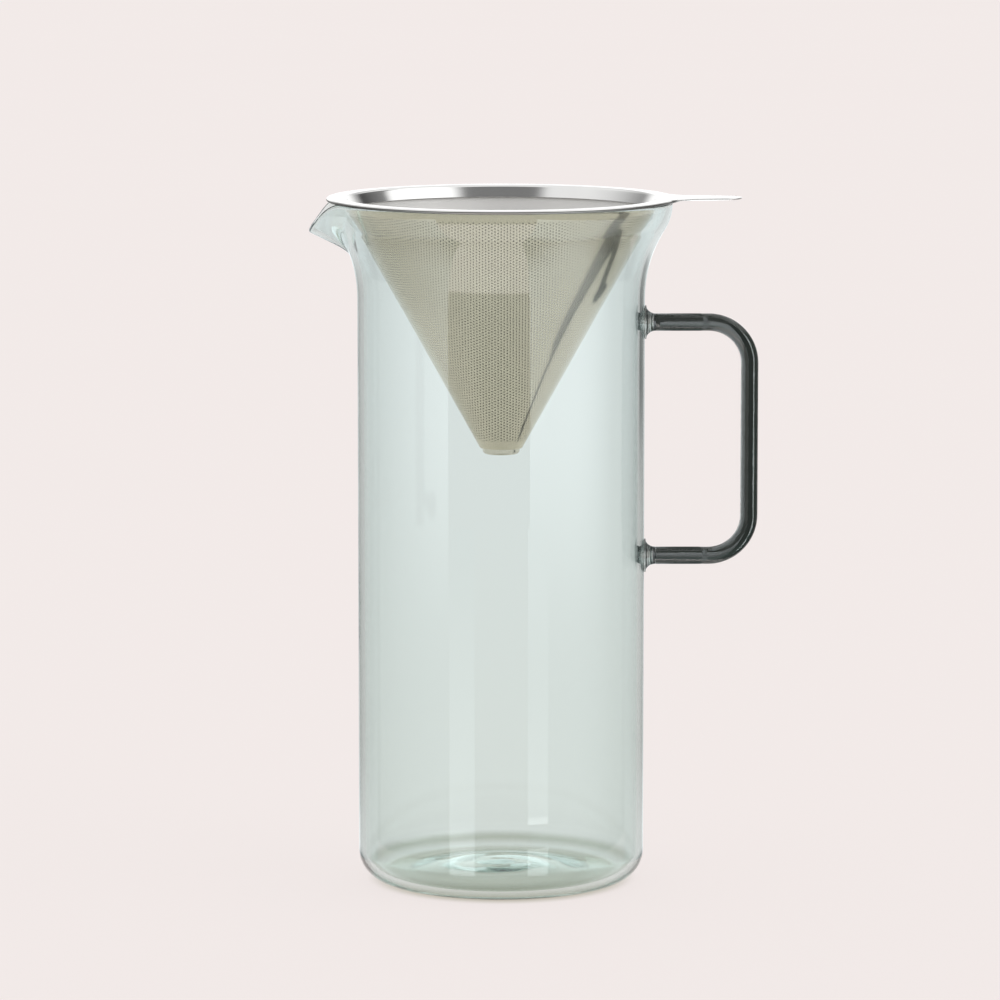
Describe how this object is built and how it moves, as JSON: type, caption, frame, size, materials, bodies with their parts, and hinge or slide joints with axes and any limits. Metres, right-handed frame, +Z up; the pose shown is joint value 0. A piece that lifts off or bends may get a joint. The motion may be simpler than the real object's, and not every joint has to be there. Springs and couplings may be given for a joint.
{
  "type": "pour-over coffee maker",
  "caption": "Tall glass carafe with flared mouth, pinched pouring spout and fused rod handle, holding a lift-out perforated steel cone filter with a flange and pull tab.",
  "frame": {"origin": "middle of the base, on the surface that the carafe stands on", "axes": "+Z up along the carafe's axis, +X towards the handle and the filter's pull tab, -X towards the spout"},
  "size_m": [0.1569, 0.1214, 0.2399],
  "materials": {
    "carafe_glass": "clear, faint green-blue tint",
    "smoked_glass": "smoked grey, fire polished",
    "polished_steel": "polished stainless sheet",
    "perforated_steel": "perforated stainless sheet, bright",
    "woven_steel": "fine woven stainless mesh"
  },
  "bodies": {
    "carafe": {"carafe": "carafe_glass", "handle": "smoked_glass", "upper_handle_seal": "carafe_glass", "lower_handle_seal": "carafe_glass"},
    "filter": {"filter_collar": "polished_steel", "filter_cone": "perforated_steel", "filter_mesh": "woven_steel", "tip_cap": "polished_steel"}
  },
  "joints": [
    {"name": "filter_lift", "type": "slide", "parent": "carafe", "child": "filter", "axis": [0, 0, 1], "range_m": [0, 0.12]}
  ]
}
